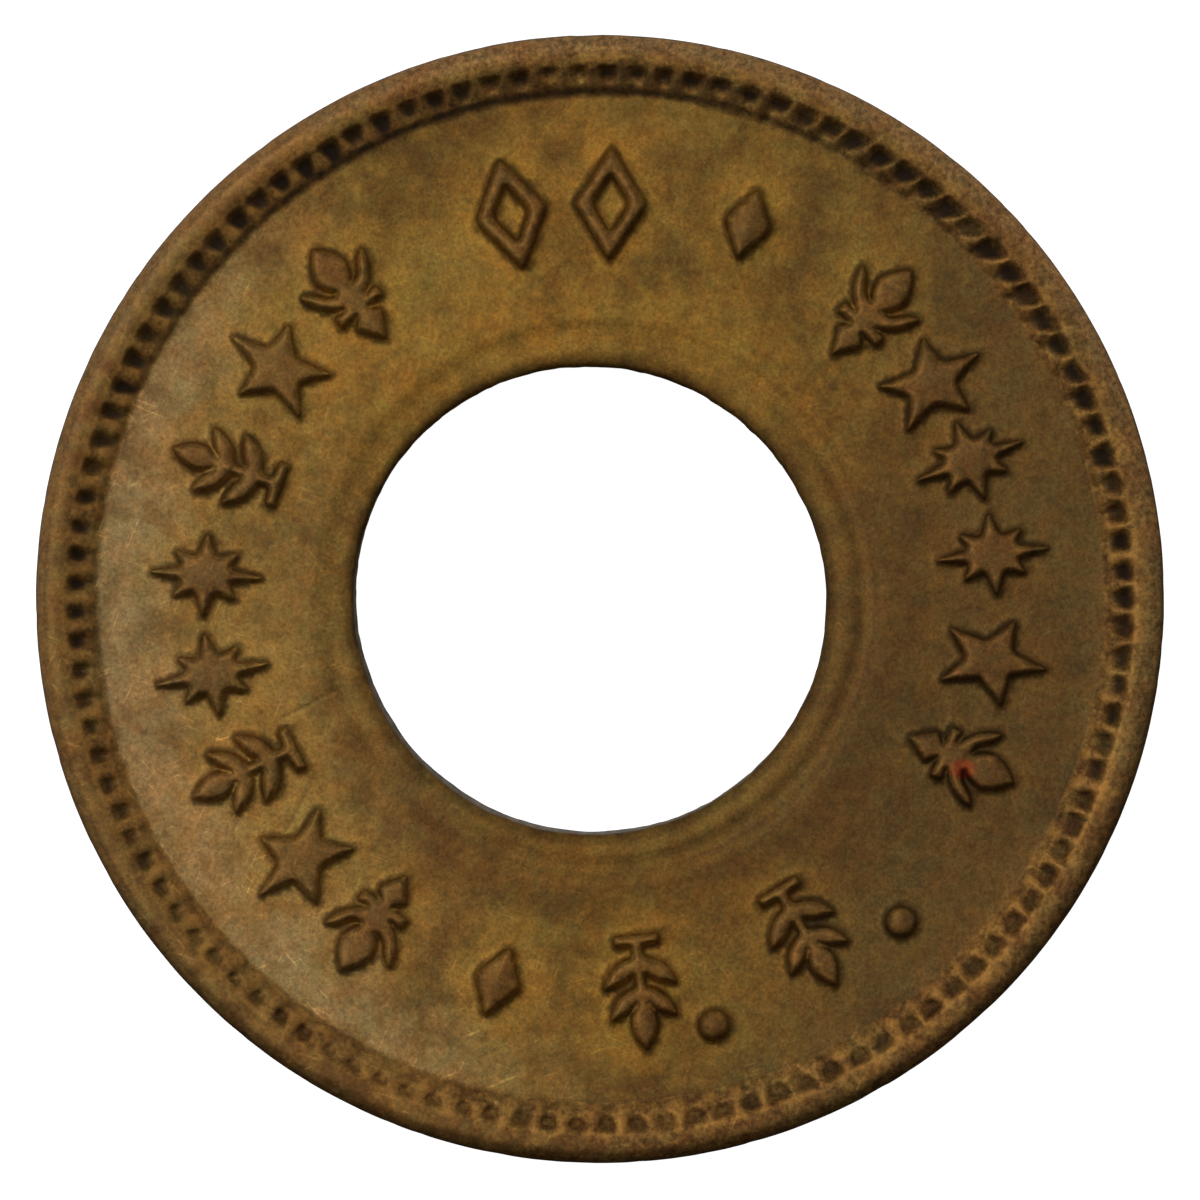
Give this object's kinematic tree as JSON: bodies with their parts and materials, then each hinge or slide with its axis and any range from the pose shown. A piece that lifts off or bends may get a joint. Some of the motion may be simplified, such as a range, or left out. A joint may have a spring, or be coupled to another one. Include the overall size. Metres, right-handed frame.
{
  "type": "holed brass token",
  "caption": "Flat round brass token with a raised rim, a ring of denticles, a border of small ornaments in relief on both faces and a large round hole through the middle.",
  "frame": {"origin": "under the middle of the round outline, on the plane that the reverse rim rests on", "axes": "+Z through the thickness and out of the obverse, +Y towards the top of the obverse as it is read, +X to its right"},
  "size_m": [0.0212, 0.0212, 0.0017],
  "materials": {
    "worn_brass": "old struck brass with a brown patina, dark in the recesses and brighter on the worn crests"
  },
  "bodies": {
    "root": {"token_disc": "worn_brass"}
  },
  "joints": []
}
